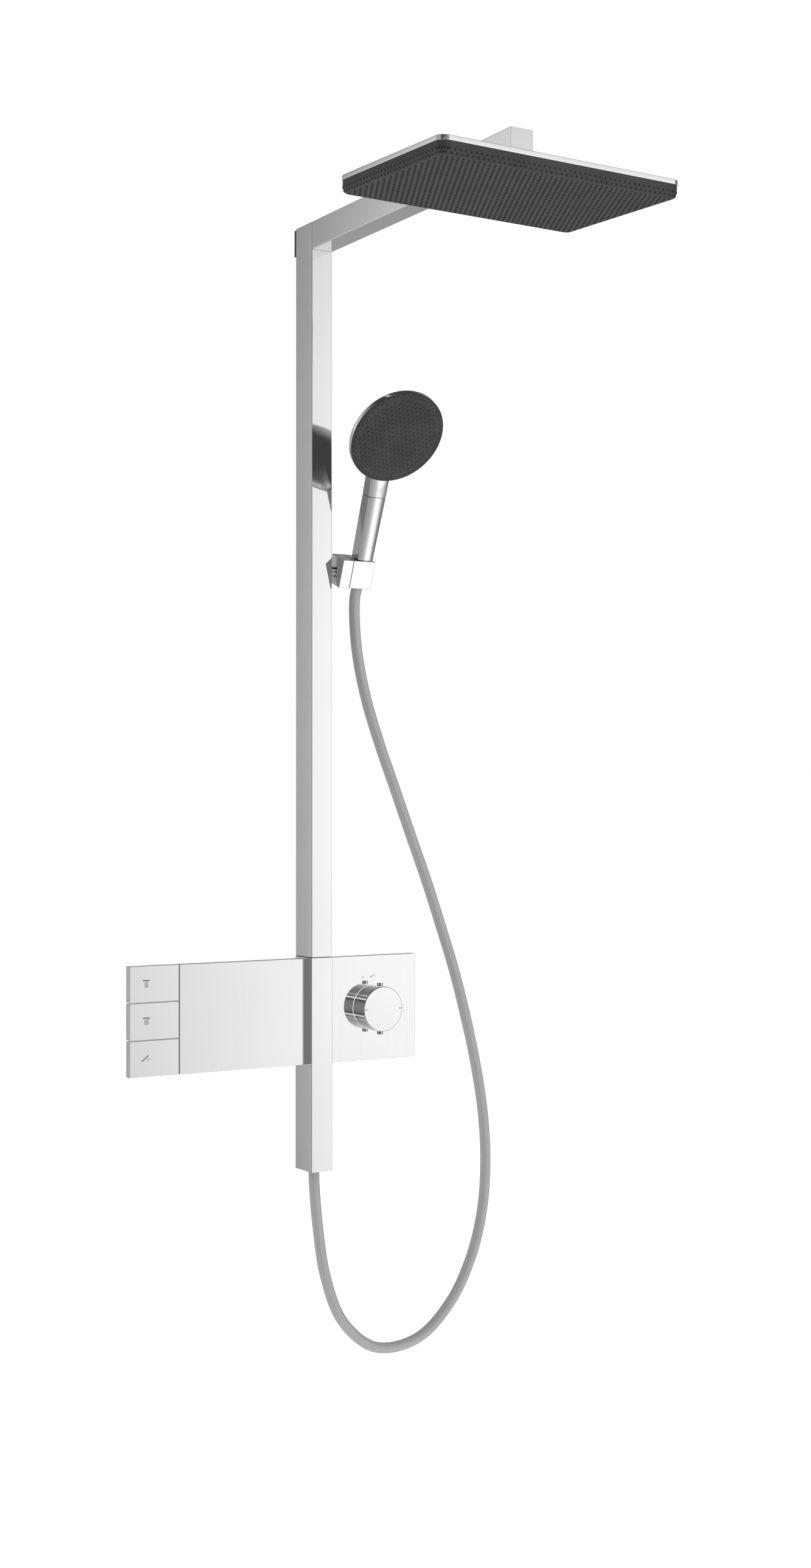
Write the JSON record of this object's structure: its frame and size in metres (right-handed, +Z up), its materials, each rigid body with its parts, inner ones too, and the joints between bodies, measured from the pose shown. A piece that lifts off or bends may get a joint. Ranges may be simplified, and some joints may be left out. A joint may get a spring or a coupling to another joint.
{
  "type": "rainfall shower column",
  "caption": "Wall-mounted shower column with a wide rain plate on an arm, a push-button thermostat panel, and a hand shower on a hose in a tilting holder.",
  "frame": {"origin": "on the wall plane behind the column, at the mid-height of the control panel", "axes": "+Z up along the column, -Y out of the wall towards the user, +X to the user's right"},
  "size_m": [0.6041, 0.6569, 1.6694],
  "materials": {
    "chrome": "polished",
    "satin_panel": "satin",
    "graphite": "matt",
    "black_plastic": "matt",
    "brass": "machined",
    "hose_braid": "woven textile sleeve"
  },
  "bodies": {
    "fixed": {"column_tube": "chrome", "column_lower_housing": "chrome", "riser_pipe": "brass", "arm_tube": "chrome", "arm_joint_ring": "black_plastic", "arm_pipe": "brass", "wall_bracket_top": "black_plastic", "wall_housing": "black_plastic", "panel_left": "satin_panel", "panel_right": "satin_panel", "button_cartridge_top": "black_plastic", "button_cartridge_middle": "black_plastic", "button_cartridge_bottom": "black_plastic", "thermostat_sleeve": "brass", "thermostat_band": "chrome", "ball_socket": "chrome", "holder_stud": "brass", "holder_base": "chrome", "hose_outlet": "chrome", "hose": "hose_braid"},
    "button_top": {"button_top": "satin_panel"},
    "button_middle": {"button_middle": "satin_panel"},
    "button_bottom": {"button_bottom": "satin_panel"},
    "flow_ring": {"flow_ring": "chrome", "flow_pin_top": "chrome", "flow_pin_bottom": "chrome"},
    "temperature_knob": {"temperature_knob": "chrome", "knob_pin_top": "chrome", "knob_pin_bottom": "chrome"},
    "ball_bush": {"ball_bush": "black_plastic"},
    "overhead": {"ball_stud": "chrome", "ball_collar": "chrome", "overhead_top": "chrome", "overhead_spray_face": "graphite"},
    "holder_clamp": {"holder_clamp": "chrome"},
    "handset": {"handset_cone": "chrome", "handset_handle": "chrome", "handset_head_shell": "chrome", "handset_spray_face": "graphite"}
  },
  "joints": [
    {"name": "button_top_press", "type": "slide", "parent": "fixed", "child": "button_top", "axis": [0, 1, 0], "range_m": [0, 0.0025], "stiffness_N_per_m": 900},
    {"name": "button_middle_press", "type": "slide", "parent": "fixed", "child": "button_middle", "axis": [0, 1, 0], "range_m": [0, 0.0025], "stiffness_N_per_m": 900},
    {"name": "button_bottom_press", "type": "slide", "parent": "fixed", "child": "button_bottom", "axis": [0, 1, 0], "range_m": [0, 0.0025], "stiffness_N_per_m": 900},
    {"name": "flow_ring_turn", "type": "hinge", "parent": "fixed", "child": "flow_ring", "pos_m": [0.0835, -0.0445, 0.0036], "axis": [0, -1, 0], "range_deg": [-90, 90]},
    {"name": "temperature_turn", "type": "hinge", "parent": "fixed", "child": "temperature_knob", "pos_m": [0.0835, -0.0788, 0.0036], "axis": [0, -1, 0], "range_deg": [-150, 150]},
    {"name": "overhead_pitch", "type": "hinge", "parent": "fixed", "child": "ball_bush", "pos_m": [0, -0.5374, 1.1045], "axis": [1, 0, 0], "range_deg": [-10, 4]},
    {"name": "overhead_roll", "type": "hinge", "parent": "ball_bush", "child": "overhead", "pos_m": [0, -0.5374, 1.1045], "axis": [0, 1, 0], "range_deg": [-8, 8]},
    {"name": "holder_tilt", "type": "hinge", "parent": "fixed", "child": "holder_clamp", "pos_m": [0.06, -0.0618, 0.6439], "axis": [1, 0, 0], "range_deg": [-10, 20], "deforming": ["hose"]},
    {"name": "handset_turn", "type": "hinge", "parent": "holder_clamp", "child": "handset", "pos_m": [0.06, -0.0618, 0.6439], "axis": [0, -0.3616, 0.9323], "range_deg": [-45, 90]}
  ]
}
